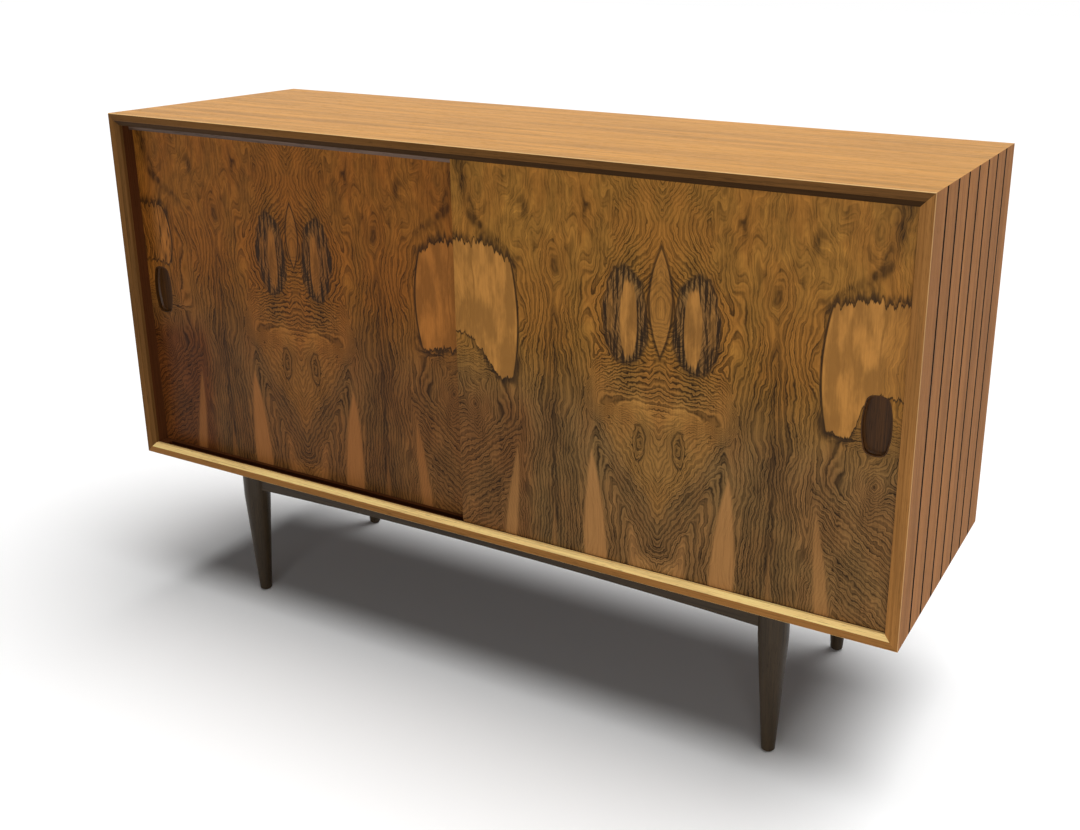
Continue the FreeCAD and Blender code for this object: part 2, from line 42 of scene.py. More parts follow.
import bmesh
import bpy
from mathutils import Matrix, Vector

bl_info = {
    "name": "Low sideboard",
    "version": (1, 0, 0),
    "blender": (4, 5, 0),
    "location": "3D View > Sidebar > Sideboard",
    "description": "Finishes a sliding-door sideboard: teak case, figured veneer doors, dark base",
    "category": "Object",
}

MM = 0.001


def linear(code):
    """An sRGB hex colour as linear red, green and blue."""
    parts = [int(code[k:k + 2], 16) / 255 for k in (1, 3, 5)]
    return tuple(c / 12.92 if c <= 0.04045 else ((c + 0.055) / 1.055) ** 2.4 for c in parts)


def rgba(colour):
    """A node's colour from three linear numbers or from a hex code."""
    values = linear(colour) if isinstance(colour, str) else colour
    return (*values[:3], 1.0)


def tone(colour, factor):
    """A darker or lighter tone of a colour, in linear numbers."""
    return tuple(min(1.0, c * factor) for c in rgba(colour)[:3])


# Properties that a user would change
SWATCH = {"subtype": "COLOR", "size": 3, "min": 0, "max": 1}


class SideboardFinish(bpy.types.PropertyGroup):
    """Colours of the finishes."""
    teak: bpy.props.FloatVectorProperty(
        name="Teak", description="Middle tone of the lacquered teak case",
        default=linear("#c38834"), **SWATCH)
    side: bpy.props.FloatVectorProperty(
        name="Sides", description="Middle tone of the teak sides",
        default=linear("#a87243"), **SWATCH)
    edge: bpy.props.FloatVectorProperty(
        name="Edges", description="Middle tone of the solid teak front edges",
        default=linear("#a06e3a"), **SWATCH)
    # The inner faces' tone is darkened with painted shade
    inside: bpy.props.FloatVectorProperty(
        name="Inside", description="Middle tone of the case's inner faces",
        default=linear("#4f2b14"), **SWATCH)
    veneer: bpy.props.FloatVectorProperty(
        name="Upper veneer", description="Golden brown ground of the upper door veneer",
        default=linear("#926328"), **SWATCH)
    veneer_low: bpy.props.FloatVectorProperty(
        name="Lower veneer", description="Umber ground of the lower door veneer",
        default=linear("#836036"), **SWATCH)
    sapwood: bpy.props.FloatVectorProperty(
        name="Sapwood", description="Pale islands in the door veneer",
        default=linear("#b27b3b"), **SWATCH)
    tongue: bpy.props.FloatVectorProperty(
        name="Tongues", description="Sapwood tongues at the doors' bottom",
        default=linear("#b27e48"), **SWATCH)
    pull: bpy.props.FloatVectorProperty(
        name="Pulls", description="Dark hardwood of the sunk finger pulls",
        default=linear("#3e240a"), **SWATCH)
    base: bpy.props.FloatVectorProperty(
        name="Base", description="Near-black stain of legs and rails",
        default=linear("#35291a"), **SWATCH)


class SideboardScrews(bpy.types.PropertyGroup):
    """Sizes of the screws."""
    back_head: bpy.props.FloatProperty(
        name="Back screw head", description="Diameter of the heads in the back panel",
        subtype="DISTANCE", unit="LENGTH", default=6.5 * MM, min=3 * MM, max=12 * MM)
    base_head: bpy.props.FloatProperty(
        name="Base screw head", description="Diameter of the heads under the corner blocks",
        subtype="DISTANCE", unit="LENGTH", default=8 * MM, min=3 * MM, max=12 * MM)


class SideboardStage(bpy.types.PropertyGroup):
    """Light levels of the stage."""
    sky: bpy.props.FloatProperty(
        name="Sky", description="Strength of the even light from all round", default=0.05, min=0, max=2)
    overhead: bpy.props.FloatProperty(
        name="Overhead lamp", description="Strength of the wide lamp above", default=3.4, min=0, max=20)
    side: bpy.props.FloatProperty(
        name="Front lamp", description="Power of the lamp at the right front", unit="POWER", default=42,
        min=0, max=1000)


# Nodes
TIMES = {"operation": "MULTIPLY"}
PLUS = {"operation": "ADD"}
MINUS = {"operation": "SUBTRACT"}
TIMES_PLUS = {"operation": "MULTIPLY_ADD"}
LARGER = {"operation": "MAXIMUM"}
BELOW = {"operation": "LESS_THAN"}
SIZE = {"operation": "ABSOLUTE"}
DIVIDED = {"operation": "DIVIDE"}
POWER = {"operation": "POWER"}
SOFT_MIN = {"operation": "SMOOTH_MIN"}
LENGTH = {"operation": "LENGTH", "out": 1}
SMOOTH = {"interpolation_type": "SMOOTHSTEP"}
COLOURS = {"data_type": "RGBA", "out": 2}


def node(tree, kind, *inputs, out=0, stops=None, **settings):
    """Adds one shader node and returns one of its outputs.

    The inputs come in the node's own order: a socket is linked, a value is set, and None is left as it is.
    A dictionary gives inputs by name or number. The stops are those of a colour ramp."""
    made = tree.nodes.new("ShaderNode" + kind)
    for name, value in settings.items():
        setattr(made, name, value)
    for place, given in enumerate(inputs):
        for key, value in (given if isinstance(given, dict) else {place: given}).items():
            if isinstance(value, bpy.types.NodeSocket):
                tree.links.new(value, made.inputs[key])
            elif value is not None:
                made.inputs[key].default_value = value
    if stops:
        elements = made.color_ramp.elements
        while len(elements) < len(stops):
            elements.new(0.5)
        for element, (place, colour) in zip(elements, stops):
            element.position = place
            element.color = rgba(colour)
    return made.outputs[out] if made.outputs else made


def new_material(name):
    """An empty node material, and the call that adds a node to it."""
    material = bpy.data.materials.new(name)
    material.use_nodes = True
    material.node_tree.nodes.clear()
    return material, functools.partial(node, material.node_tree)


def together(n, *masks):
    """Where all the masks hold."""
    result = masks[0]
    for mask in masks[1:]:
        result = n("Math", result, mask, **TIMES)
    return result


def shade(n, colour, roughness, height, relief, **constants):
    """The shader that ends a material: its colour, its gloss and its relief in metres."""
    bump = n("Bump", {"Height": height, "Strength": 1.0, "Distance": relief})
    values = {"Base Color": colour, "Roughness": roughness, "Normal": bump}
    values.update({key.replace("_", " "): value for key, value in constants.items()})
    n("OutputMaterial", n("BsdfPrincipled", values))


# Plain woods and teak
TEAK_GRAIN = {"band": 20, "streak": 1.7, "streaks": 1.15, "pores": 0.9}
# The boards whose outer side has a tone of its own: the axis that it faces along, and which way
OUTER_SIDE = {"top_panel": (2, 1), "left_side_panel": (0, -1), "right_side_panel": (0, 1)}
# How deep such a tone goes, how wide the painted highlight along the arris is, and how far back the front
# moulding reaches
SKIN = 0.6 * MM
ARRIS = 1.6 * MM
MOULDING = 9.2 * MM
BOTTOM_MOULDING = 8.0 * MM
# Colour of the painted highlight along the front arris
ARRIS_HIGHLIGHT_COLOUR = "#efc78c"
# By the grain's axis: how strong the painted highlight along the arris is, and the lacquer's roughness on
# smooth wood and in the pores
ARRIS_HIGHLIGHT_STRENGTH = {"X": 0.85, "Z": 0.4}
LACQUER = {"X": (0.34, 0.50), "Z": (0.58, 0.72)}
# The kerfs part a side into strips, and hold dark polish with painted shade to their full depth; the painted
# dark reaches a little past their edges
KERF_STRIPS = 8
KERF_DEPTH = 6 * MM
KERF_DARK_HALF_WIDTH = 3.3 * MM
KERF_POLISH_AND_SHADE = "#140a04"


def stops_round(colour, dark, light):
    """A ramp's stops: a colour in the middle, with a darker and a lighter tone of it at the ends."""
    return [(0.0, tone(colour, dark)), (0.5, colour), (1.0, tone(colour, light))]


def straight_grain(n, along, seed, band=26, streak=1.6, pore=0.9, bands=1.0, streaks=1.0, pores=1.0):
    """Straight grain drawn out along one axis: growth bands, fine streaks and open pores.

    band, streak and pore are widths across the grain in millimetres, and bands, streaks and pores are their
    strengths. Real pores are 0.2 to 0.4 mm wide, which no render shows, so they are drawn three times as
    wide. Returns a tone from 0, dark, to 1, light, and a height."""
    place = n("TexCoord", out="Object")
    layers = []
    # Each layer's width, how many times longer than wide it is, its detail and its shift
    kinds = ((band, 20, 3.0, 1.0), (streak, 80, 4.0, 3.0), (pore, 18, 1.0, 7.0))
    for width, stretch, detail, shift in kinds:
        scale = [1 / (MM * width)] * 3
        scale["XYZ".index(along)] /= stretch
        drawn = n("Mapping", place, (seed + shift, 2.3 * seed, shift), None, scale)
        layers.append(n("TexNoise", drawn, None, 1.0, detail, 0.6, {"Distortion": 0.2}))
    band_layer, streak_layer, pore_layer = layers
    open_pores = n("MapRange", pore_layer, 0.58, 0.72, **SMOOTH)
    light = n("Math", band_layer, 1.5 * bands, 0.5 - 0.75 * bands - 0.65 * streaks, **TIMES_PLUS)
    light = n("Math", streak_layer, 1.3 * streaks, light, **TIMES_PLUS)
    light = n("Math", open_pores, -0.45 * pores, light, **TIMES_PLUS)
    height = n("Math", open_pores, -0.6, n("Math", streak_layer, 0.5, 0.6, **TIMES_PLUS), **TIMES_PLUS)
    return light, height


def plain_wood(name, along, dark, middle, light, film=(0.42, 0.58), relief=0.12 * MM, gloss=0.2, **grain):
    """Straight-grained wood under a satin film. film is its roughness on smooth wood and in the pores."""
    material, n = new_material(name)
    light_tone, height = straight_grain(n, along, 0.0, **grain)
    colour = n("ValToRGB", light_tone, stops=[(0.0, dark), (0.5, middle), (1.0, light)])
    smooth, pores = film
    roughness = n("MapRange", height, 0.4, 0.95, pores, smooth)
    shade(n, colour, roughness, height, relief, Specular_IOR_Level=gloss)
    return material


def kerf_mask(n, y, depth, low, high):
    """Where the kerfs of a side board are, with their dark polish and painted shade, and the painted dark a
    little past their edges.
    """
    pitch = (high.y - low.y) / KERF_STRIPS
    strip = n("Math", y, pitch, **DIVIDED)
    away = n("Math", n("Math", strip, n("Math", strip, operation="ROUND"), **MINUS), **SIZE)
    stained = n("Math", away, KERF_DARK_HALF_WIDTH / pitch, **BELOW)
    on_board = n("Math", n("Math", strip, **SIZE), KERF_STRIPS / 2 - 0.5, **BELOW)
    return together(n, stained, on_board, n("Math", depth, KERF_DEPTH, **BELOW))


def lacquered_teak(name, board, along, face, edge, moulding, inside, seed):
    """Planed teak under satin lacquer: golden brown with straight fine streaks and a soft sheen.

    face is the outer side, edge the flat front band, moulding the slope behind it and inside the rest. A
    painted highlight runs pale along the front arris. It is duller on the sides, and their kerfs hold old
    dark polish and painted shade."""
    material, n = new_material(name)
    low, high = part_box(board)
    place = n("TexCoord", out="Object")
    y = n("SeparateXYZ", place, out=1)
    reach = BOTTOM_MOULDING if board == "bottom_panel" else MOULDING
    layers = [(n("Math", y, low.y + reach, **BELOW), moulding), (n("Math", y, low.y + SKIN, **BELOW), edge)]
    if board in OUTER_SIDE:
        axis, way = OUTER_SIDE[board]
        outer = abs((high if way > 0 else low)[axis])
        depth = n("Math", outer, n("Math", n("SeparateXYZ", place, out=axis), way, **TIMES), **MINUS)
        in_face = n("Math", depth, SKIN, **BELOW)
        layers.append((in_face, face))
    light_tone, height = straight_grain(n, along, seed, **TEAK_GRAIN)
    colour = n("ValToRGB", light_tone, stops=stops_round(inside, 0.62, 1.3))
    for mask, wood in layers:
        grained = n("ValToRGB", light_tone, stops=stops_round(wood, 0.62, 1.3))
        colour = n("Mix", {0: mask, 6: colour, 7: grained}, **COLOURS)
    if board in OUTER_SIDE:
        # A painted highlight along the front arris of the outer side
        arris_highlight = together(n, in_face, n("Math", y, low.y + ARRIS, **BELOW), ARRIS_HIGHLIGHT_STRENGTH[along])
        colour = n("Mix", {0: arris_highlight, 6: colour, 7: rgba(ARRIS_HIGHLIGHT_COLOUR)}, **COLOURS)
    if along == "Z":
        # Dark polish and painted shade in the kerfs, reaching a little past their edges
        kerfs = kerf_mask(n, y, depth, low, high)
        colour = n("Mix", {0: kerfs, 6: colour, 7: rgba(KERF_POLISH_AND_SHADE)}, **COLOURS)
    smooth, pores = LACQUER[along]
    roughness = n("MapRange", height, 0.4, 0.95, pores, smooth)
    shade(n, colour, roughness, height, 0.08 * MM, Specular_IOR_Level=0.04)
    return material


# Door veneer. Places in it are in millimetres: s outwards from the door's middle, z up from the door's
# bottom edge. An oval is given by the place of its middle and by its half width and half height.
BAND_MIDDLE = 148.0
HEART_OVAL = (25, 180, 15, 32)
OUTER_KNOT = (270, 178, 22, 44)
# Each kind of line: the spacing of its contours, and where on its wave the line starts and is full
LINES = {"bold": (7.4, -0.4, 1.0), "thin": (3.2, -0.1, 0.95), "hair": (1.7, -0.2, 1.0)}
# Small ovals low in the heart, and the rings on each: how far out, and how wide
SMALL_OVAL = (28, 177, 9.5, 22)
SMALL_OVAL_RINGS = {"oval_rim": (1.0, 0.20), "oval_middle": (0.42, 0.26)}
# Short dark marks above the leaf's middle
MARKS = {"inner_mark": (102, 461, 6, 17), "outer_mark": (188, 457, 6, 17)}
# Faint pale spots over the heart
SPOTS = ((17, 221, 5, 8), (30, 221, 5, 8), (44, 221, 5, 8))
# How much lighter, or darker where negative, each part of the figure, and the painted shade along the bottom
# edge, makes the ground
TONE_OF = {
    "clouds": 0.50, "mottles": 0.85, "bold": -0.24, "thin": -0.32, "hair": -0.08, "fibres": -0.12,
    "heart": 0.09, "under_heart": -0.08, "waist": 0.07, "band": -0.10, "band_core": -0.14, "foot": 0.16,
    "trail": -0.30, "inner_mark": -0.28, "outer_mark": -0.28, "eye_zone": -0.04, "oval_rim": -0.30,
    "oval_middle": -0.24, "wing_lines": -0.15, "vase_lines": -0.13, "painted_shade_bottom_edge": -0.9,
}
# The ground's tones: places on a scale from the darkest line to the lightest wood, and factors there
SHADES = ((0.0, 0.08), (0.25, 0.36), (0.5, 0.82), (0.75, 1.3), (1.0, 2.0))
# The ground's hue drifts a little from warm to cool, and the left door is redder, and darker with painted
# shade as if less lit
WARM, COOL = (1.04, 0.985, 0.96), (0.98, 1.01, 1.02)
LEFT_TINT_AND_SHADE = (0.84, 0.69, 0.60)
RIM_BROWN = "#21150a"
# Each tongue's foot, lean, half width, height and strength
TONGUES = (
    (88, 0.04, 17, 157, 0.8),
    (30, 0.10, 8, 70, 0.4),
    (150, 0.0, 4, 66, 0.4),
    (219, -0.10, 9.5, 136, 0.6),
)
# island is the place of its side, then its bottom and its top edge: the height at the side, two places to
# slope between, and the height beyond. beyond is how pale the island stays towards the leaf's edge, eye how
# pale the eye is, streaked how dark the streaks in the island are, and low_tint is the tint of the leaf's
# lower outer corner.
LEAVES = {
    "right_door_outer_leaf": {
        "island": (203, (236, 236, 262, 292), (386, 206, 250, 397)),
        "beyond": 0.5, "eye": 0.85, "streaked": 0.0, "low_tint": (0.97, 0.95, 0.95)},
    "right_door_inner_leaf": {
        "island": (203, (226, 222, 284, 280), (384, 206, 250, 402)),
        "beyond": 0.8, "eye": 0.85, "streaked": 0.0, "low_tint": (0.82, 0.70, 0.64)},
    "left_door_outer_leaf": {
        "island": (242, (296, 244, 262, 304), (380, 240, 256, 388)),
        "beyond": 0.0, "eye": 0.7, "streaked": 0.8, "low_tint": (0.68, 0.50, 0.40)},
    "left_door_inner_leaf": {
        "island": (214, (240, 222, 270, 246), (374, 216, 254, 392)),
        "beyond": 0.8, "eye": 0.7, "streaked": 0.0, "low_tint": (1.0, 1.0, 1.0)},
}
# The ovals of each door's eye: its zone, its pale middle and a sliver beside that. The almond has a half
# width, a middle height and a half height, and outline is the strength of the line round the zone.
EYES = {
    "right_door": {"zone": (49, 336, 31, 62), "eye": (43, 333, 12, 50), "sliver": (68, 339, 4.5, 27),
                   "almond": (15.0, 360.0, 67.0), "outline": 0.7},
    "left_door": {"zone": (43, 338, 27, 60), "eye": (39, 333, 8, 44), "sliver": (58, 341, 3.5, 24),
                  "almond": (10.5, 370.0, 46.0), "outline": 0.3},
}


def wood_noise(n, place, across, along, shift, detail=2.0, out=0):
    """Noise whose spots are so many millimetres across and along the grain. Each use has its own shift."""
    drawn = n("Mapping", place, (shift, shift, shift), None, (1 / across, 1.0, 1 / along))
    return n("TexNoise", drawn, None, 1.0, detail, 0.55, out=out)


def bend(n, place, across, along, reach_s, reach_z, shift, detail=2.0):
    """Places pushed about by noise, so that lines drawn through them bend by up to the reach."""
    push = wood_noise(n, place, across, along, shift, detail, out=1)
    push = n("VectorMath", push, (2 * reach_s, 0, 2 * reach_z), (-reach_s, 0, -reach_z), **TIMES_PLUS)
    return n("VectorMath", place, push, **PLUS)


def from_oval(n, place, s, z, half_s, half_z):
    """How far out of an oval a place lies: 0 in its middle and 1 on its edge."""
    local = n("Mapping", place, (s, 0, z), None, (half_s, 1, half_z), vector_type="TEXTURE")
    return n("VectorMath", local, **LENGTH)


def leaf_places(n, seam, outward, bottom, seed):
    """Places on a leaf, flat and bent, and their s and z.

    seeded only draws other noise. swayed drifts in long waves, figure in short ones too, and ragged is torn
    along the grain."""
    flat = n("Mapping", n("TexCoord", out="Object"), (-seam * outward / MM, 0, -bottom / MM), None,
             (outward / MM, 0.0, 1 / MM))
    swayed = bend(n, flat, 60, 90, 10, 16, 0)
    figure = bend(n, bend(n, swayed, 26, 30, 5.0, 8.0, 19), 8, 10, 2.8, 5.0, 7)
    at = types.SimpleNamespace(flat=flat, swayed=swayed, figure=figure)
    at.seeded = n("VectorMath", flat, (0, seed, 0), **PLUS)
    at.ragged = bend(n, flat, 5, 70, 2.0, 17.0, 11, 3.0)
    at.s, at.z = (n("SeparateXYZ", flat, out=k) for k in (0, 2))
    at.swayed_s, at.swayed_z = (n("SeparateXYZ", swayed, out=k) for k in (0, 2))
    at.figure_s, at.figure_z = (n("SeparateXYZ", figure, out=k) for k in (0, 2))
    return at


def contour_height(n, at):
    """The height field whose contours are the figure's lines, and the distance from the cathedral band.

    It is the lowest of several families of curves, blended where they meet."""
    s, z = at.figure_s, at.figure_z
    from_band = n("Math", n("Math", s, BAND_MIDDLE, **MINUS), **SIZE)
    # Upright lines that swirl more higher up, alike on both sides of the band
    folded = n("CombineXYZ", from_band, 0.0, z)
    swirl = n("Math", wood_noise(n, folded, 48, 120, 3, 1.0), 0.5, **MINUS)
    upright = n("Math", swirl, n("MapRange", z, 230, 440, 55.0, 100.0), 120.0, **TIMES_PLUS)
    upright = n("Math", from_band, 0.85, upright, **TIMES_PLUS)
    # The cathedral band, which ends at the height of the eyes
    band = n("Math", from_band, 1.6, n("Math", z, 0.10, 84.0, **TIMES_PLUS), **TIMES_PLUS)
    band = n("Math", band, n("MapRange", z, 300, 430, 0.0, 190.0, **SMOOTH), **PLUS)
    # The heart with the fan of its wings and the oval in it
    fan = n("Math", n("Math", z, 228.0, **MINUS), n("MapRange", s, 0, 95, 1.4, 2.8), **TIMES)
    rise = n("Math", n("Math", 205.0, z, **MINUS), fan, **LARGER)
    heart = n("Math", s, n("MapRange", z, 190, 236, 1.45, 0.05, **SMOOTH), rise, **TIMES_PLUS)
    heart = n("Math", heart, 0.72, 68.0, **TIMES_PLUS)
    wing_end = together(n, n("MapRange", s, 82, 118, **SMOOTH), n("MapRange", z, 190, 215, **SMOOTH))
    heart = n("Math", wing_end, 90.0, heart, **TIMES_PLUS)
    oval = n("MapRange", from_oval(n, at.figure, *HEART_OVAL), 1.0, 0.0, **SMOOTH)
    heart = n("Math", oval, 44.0, heart, **TIMES_PLUS)
    # The vase round the eyes, which narrows to a neck above them
    neck = n("MapRange", z, 460, 345, 26.0, 85.0, **SMOOTH)
    neck = n("Math", neck, n("MapRange", z, 450, 520, 0.0, 34.0, **SMOOTH), **PLUS)
    below = n("MapRange", z, 345, 0, 0.0, 380.0)
    around = n("VectorMath", n("CombineXYZ", s, 0.0, below), **LENGTH)
    vase = n("Math", n("Math", around, neck, **MINUS), 1.15, 152.0, **TIMES_PLUS)
    # The flame by the outer tongue
    leaning = n("Math", z, 0.2, n("Math", s, -235.0, **PLUS), **TIMES_PLUS)
    flanks = n("Math", n("Math", leaning, 0.7, **TIMES), n("Math", leaning, -2.2, **TIMES), **LARGER)
    flame = n("Math", flanks, n("Math", z, 0.75, 40.0, **TIMES_PLUS), **PLUS)
    height = upright
    for family, rounding in ((band, 14.0), (flame, 10.0), (heart, 10.0), (vase, 10.0)):
        height = n("Math", height, family, rounding, **SOFT_MIN)
    knot = n("MapRange", from_oval(n, at.figure, *OUTER_KNOT), 1.0, 0.0, **SMOOTH)
    return n("Math", knot, 45.0, height, **TIMES_PLUS), from_band


def figure_parts(n, at, eye_zone):
    """The figure's parts by name, from 0 to 1 where it is full. Clouds and mottles go both ways from 0."""
    s, z = at.figure_s, at.figure_z
    height, from_band = contour_height(n, at)
    parts = {}
    for kind, (spacing, start, full) in LINES.items():
        wave = n("Math", n("Math", height, 2 * math.pi / spacing, **TIMES), operation="SINE")
        parts[kind] = n("MapRange", wave, start, full, **SMOOTH)

    # Noise, from broad clouds to single fibres. Real fibres are finer than a render shows.
    patches = n("MapRange", wood_noise(n, at.figure, 22, 50, 5), 0.36, 0.62, 0.25, 1.0, **SMOOTH)
    parts["fibres"] = n("MapRange", wood_noise(n, at.seeded, 1.4, 40, 2, 3.0), 0.34, 0.70, **SMOOTH)
    parts["clouds"] = n("Math", wood_noise(n, at.swayed, 34, 60, 17, 3.0), 0.5, **MINUS)
    mottles = n("Math", wood_noise(n, at.figure, 11, 22, 37), 0.5, **MINUS)

    # High up the lines are calmer and the mottles stronger
    high_up = together(n, n("MapRange", at.z, 330, 440, **SMOOTH),
                       n("MapRange", at.s, 40, 100, 0.3, 1.0, **SMOOTH))
    low_out = together(n, n("MapRange", at.s, 168, 200, **SMOOTH), n("MapRange", at.z, 240, 180, **SMOOTH))
    calm = n("Math", high_up, -0.5, n("Math", low_out, 0.05, 1.0, **TIMES_PLUS), **TIMES_PLUS)
    parts["low_out"] = low_out
    parts["mottles"] = n("Math", mottles, n("Math", high_up, 0.6, 0.25, **TIMES_PLUS), **TIMES)
    parts["bold"] = n("Math", parts["bold"], calm, **TIMES)
    parts["thin"] = together(n, parts["thin"], patches, calm)

    # Zones: the heart over its V, the waist at the wings, and the band with its dark core
    above_v = n("Math", s, -1.45, z, **TIMES_PLUS)
    near = n("MapRange", s, 104, 66, **SMOOTH)
    parts["heart"] = together(n, n("MapRange", above_v, 60, 98, **SMOOTH),
                              n("MapRange", z, 256, 214, **SMOOTH), near)
    parts["under_heart"] = together(n, n("MapRange", above_v, 84, 58, **SMOOTH),
                                    n("MapRange", above_v, 10, 36, **SMOOTH), near)
    parts["waist"] = together(n, n("MapRange", s, 105, 50, **SMOOTH), n("MapRange", z, 205, 230, **SMOOTH),
                              n("MapRange", z, 290, 250, **SMOOTH))
    half_band = n("MapRange", at.z, 375, 240, 0.0, 34.0)
    past_band = n("Math", n("Math", from_band, half_band, **MINUS), 4.0, **PLUS)
    parts["band"] = n("MapRange", past_band, 8, -6, **SMOOTH)
    parts["band_core"] = together(n, n("MapRange", from_band, 6, 1, **SMOOTH),
                                  n("MapRange", at.z, 320, 270, **SMOOTH))
    parts["foot"] = together(n, n("MapRange", at.s, 46, 24, **SMOOTH),
                             n("MapRange", at.z, 32, 12, **SMOOTH))
    # Painted shade along the door's bottom edge, in the gap over the track
    parts["painted_shade_bottom_edge"] = n("MapRange", at.z, 6.0, 3.0, **SMOOTH)

    # Dark smudges and ovals: a trail above the island, short marks, and the small ovals' rings
    trail_s = n("Math", n("MapRange", at.z, 398, 436, 216.0, 268.0),
                n("MapRange", at.z, 436, 500, 0.0, 18.0), **PLUS)
    off_trail = n("Math", n("Math", s, trail_s, **MINUS), **SIZE)
    parts["trail"] = together(n, n("MapRange", off_trail, 15, 4, **SMOOTH),
                              n("MapRange", at.z, 385, 402, **SMOOTH), patches)
    for mark, oval in MARKS.items():
        parts[mark] = n("MapRange", from_oval(n, at.figure, *oval), 1.2, 0.3, **SMOOTH)
    small_oval = from_oval(n, at.figure, *SMALL_OVAL)
    for ring, (out_by, width) in SMALL_OVAL_RINGS.items():
        off_ring = n("Math", n("Math", small_oval, out_by, **MINUS), **SIZE)
        parts[ring] = n("MapRange", off_ring, width, 0.3 * width, **SMOOTH)

    # Darker bold lines in the wings and round the eyes
    parts["eye_zone"] = n("MapRange", eye_zone, 1.14, 0.86, **SMOOTH)
    parts["wing_lines"] = together(n, parts["bold"], parts["waist"], n("MapRange", z, 218, 234, **SMOOTH))
    parts["vase_lines"] = together(n, parts["bold"], n("MapRange", eye_zone, 0.96, 1.06, **SMOOTH),
                                   n("MapRange", eye_zone, 1.9, 1.35, **SMOOTH))
    return parts


def ground_colour(n, at, parts, golden, umber, low_tint):
    """The veneer's ground: golden above and umber below, toned by the figure's parts."""
    light = n("MapRange", at.z, 40, 420, 0.70, 0.76)
    for part, weight in TONE_OF.items():
        light = n("Math", parts[part], weight, light, **TIMES_PLUS)
    above, below = (n("ValToRGB", light, stops=[(place, tone(wood, factor)) for place, factor in SHADES])
                    for wood in (golden, umber))
    low_down = n("MapRange", at.swayed_z, 300, 170, 0.0, 1.0, **SMOOTH)
    low_down = n("Math", low_down, n("Math", parts["heart"], -0.45, 1.0, **TIMES_PLUS), **TIMES)
    low_down = n("Math", low_down, n("Math", parts["eye_zone"], 0.8, **TIMES), **LARGER)
    ground = n("Mix", {0: low_down, 6: above, 7: below}, **COLOURS)
    ground = n("Mix", {0: parts["low_out"], 6: ground, 7: rgba(low_tint)}, blend_type="MULTIPLY", **COLOURS)
    drift = n("MapRange", wood_noise(n, at.swayed, 45, 95, 53, 3.0), 0.38, 0.62, **SMOOTH)
    drift = n("Mix", {0: drift, 6: rgba(WARM), 7: rgba(COOL)}, **COLOURS)
    return n("Mix", {0: 1.0, 6: ground, 7: drift}, blend_type="MULTIPLY", **COLOURS)


def tongues(n, at):
    """Flame-shaped tongues of sapwood that rise from the bottom edge: where they are and how strong."""
    flowing = bend(n, at.seeded, 14, 60, 2.5, 0.0, 41, 1.0)
    s, z = (n("SeparateXYZ", flowing, out=k) for k in (0, 2))
    strongest = 0.0
    for foot, lean, half_width, tip, strength in TONGUES:
        taper = n("Math", n("Math", z, tip, **DIVIDED), 2.5, **POWER)
        off = n("Math", n("Math", z, -lean, n("Math", s, foot, **MINUS), **TIMES_PLUS), **SIZE)
        inside = n("Math", n("Math", taper, -half_width, half_width, **TIMES_PLUS), off, **MINUS)
        inside = n("MapRange", inside, -2.2, 3.4, 0.0, strength, **SMOOTH)
        strongest = n("Math", inside, strongest, **LARGER)
    return strongest


def island(n, at, side, bottom, top):
    """How many millimetres a place lies inside a pale island with ragged ends and a smooth side."""
    bulge, rounding = 9.0, 8.0
    z = n("SeparateXYZ", at.ragged, out=2)
    middle, half = (bottom[0] + top[0]) / 2, (top[0] - bottom[0]) / 2
    swing = n("Math", n("Math", n("Math", at.z, middle, **MINUS), half, **DIVIDED), 2.0, **POWER)
    past_side = n("Math", swing, -bulge, n("Math", at.s, side, **MINUS), **TIMES_PLUS)
    over = n("Math", z, n("MapRange", at.s, *bottom[1:3], bottom[0], bottom[3], **SMOOTH), **MINUS)
    under = n("Math", n("MapRange", at.s, *top[1:3], top[0], top[3], **SMOOTH), z, **MINUS)
    return n("Math", n("Math", over, under, rounding, **SOFT_MIN), past_side, rounding, **SOFT_MIN)


def pale_mask(n, at, within, leaf, eyes):
    """Where the pale sapwood is: the island, the eye with the sliver beside it, and faint spots."""
    window = together(n, n("MapRange", within, -1.0, 1.2, **SMOOTH),
                      n("MapRange", at.s, 264, 280, 0.92, leaf["beyond"], **SMOOTH))
    from_eye, from_sliver = (from_oval(n, at.ragged, *eyes[part]) for part in ("eye", "sliver"))
    eye = n("MapRange", from_eye, 1.05, 0.92, 0.0, leaf["eye"], **SMOOTH)
    sliver = n("MapRange", from_sliver, 1.1, 0.8, 0.0, 0.6 * leaf["eye"], **SMOOTH)
    pale = n("Math", n("Math", window, eye, **LARGER), sliver, **LARGER)
    for oval in SPOTS:
        spot = n("MapRange", from_oval(n, at.ragged, *oval), 1.2, 0.6, 0.0, 0.3, **SMOOTH)
        pale = n("Math", pale, spot, **LARGER)
    return pale


def sapwood_colour(n, at, fibres, sapwood):
    """Pale sapwood with darker veils, fibres and one thin arc."""
    veil = n("MapRange", wood_noise(n, at.seeded, 15, 50, 23, 3.0), 0.35, 0.68, **SMOOTH)
    veil = n("Math", fibres, -0.25, veil, **TIMES_PLUS)
    arc = n("Math", n("Math", at.swayed_s, 270.0, **MINUS), **SIZE)
    veil = n("Math", n("MapRange", arc, 1.6, 0.4, **SMOOTH), -0.7, veil, **TIMES_PLUS)
    return n("ValToRGB", veil, stops=stops_round(sapwood, 0.72, 1.3))


def almond_masks(n, at, half_width, middle, half_height):
    """The inside of the almond on the seam, and its rim."""
    far = n("Math", n("Math", at.z, middle, **MINUS), half_height, **DIVIDED)
    far = n("Math", n("Math", at.s, **SIZE), 1 / half_width, n("Math", far, 2.0, **POWER), **TIMES_PLUS)
    rim = together(n, n("MapRange", far, 0.90, 1.0, **SMOOTH), n("MapRange", far, 1.30, 1.08, **SMOOTH))
    return n("MapRange", far, 1.04, 0.94, **SMOOTH), rim


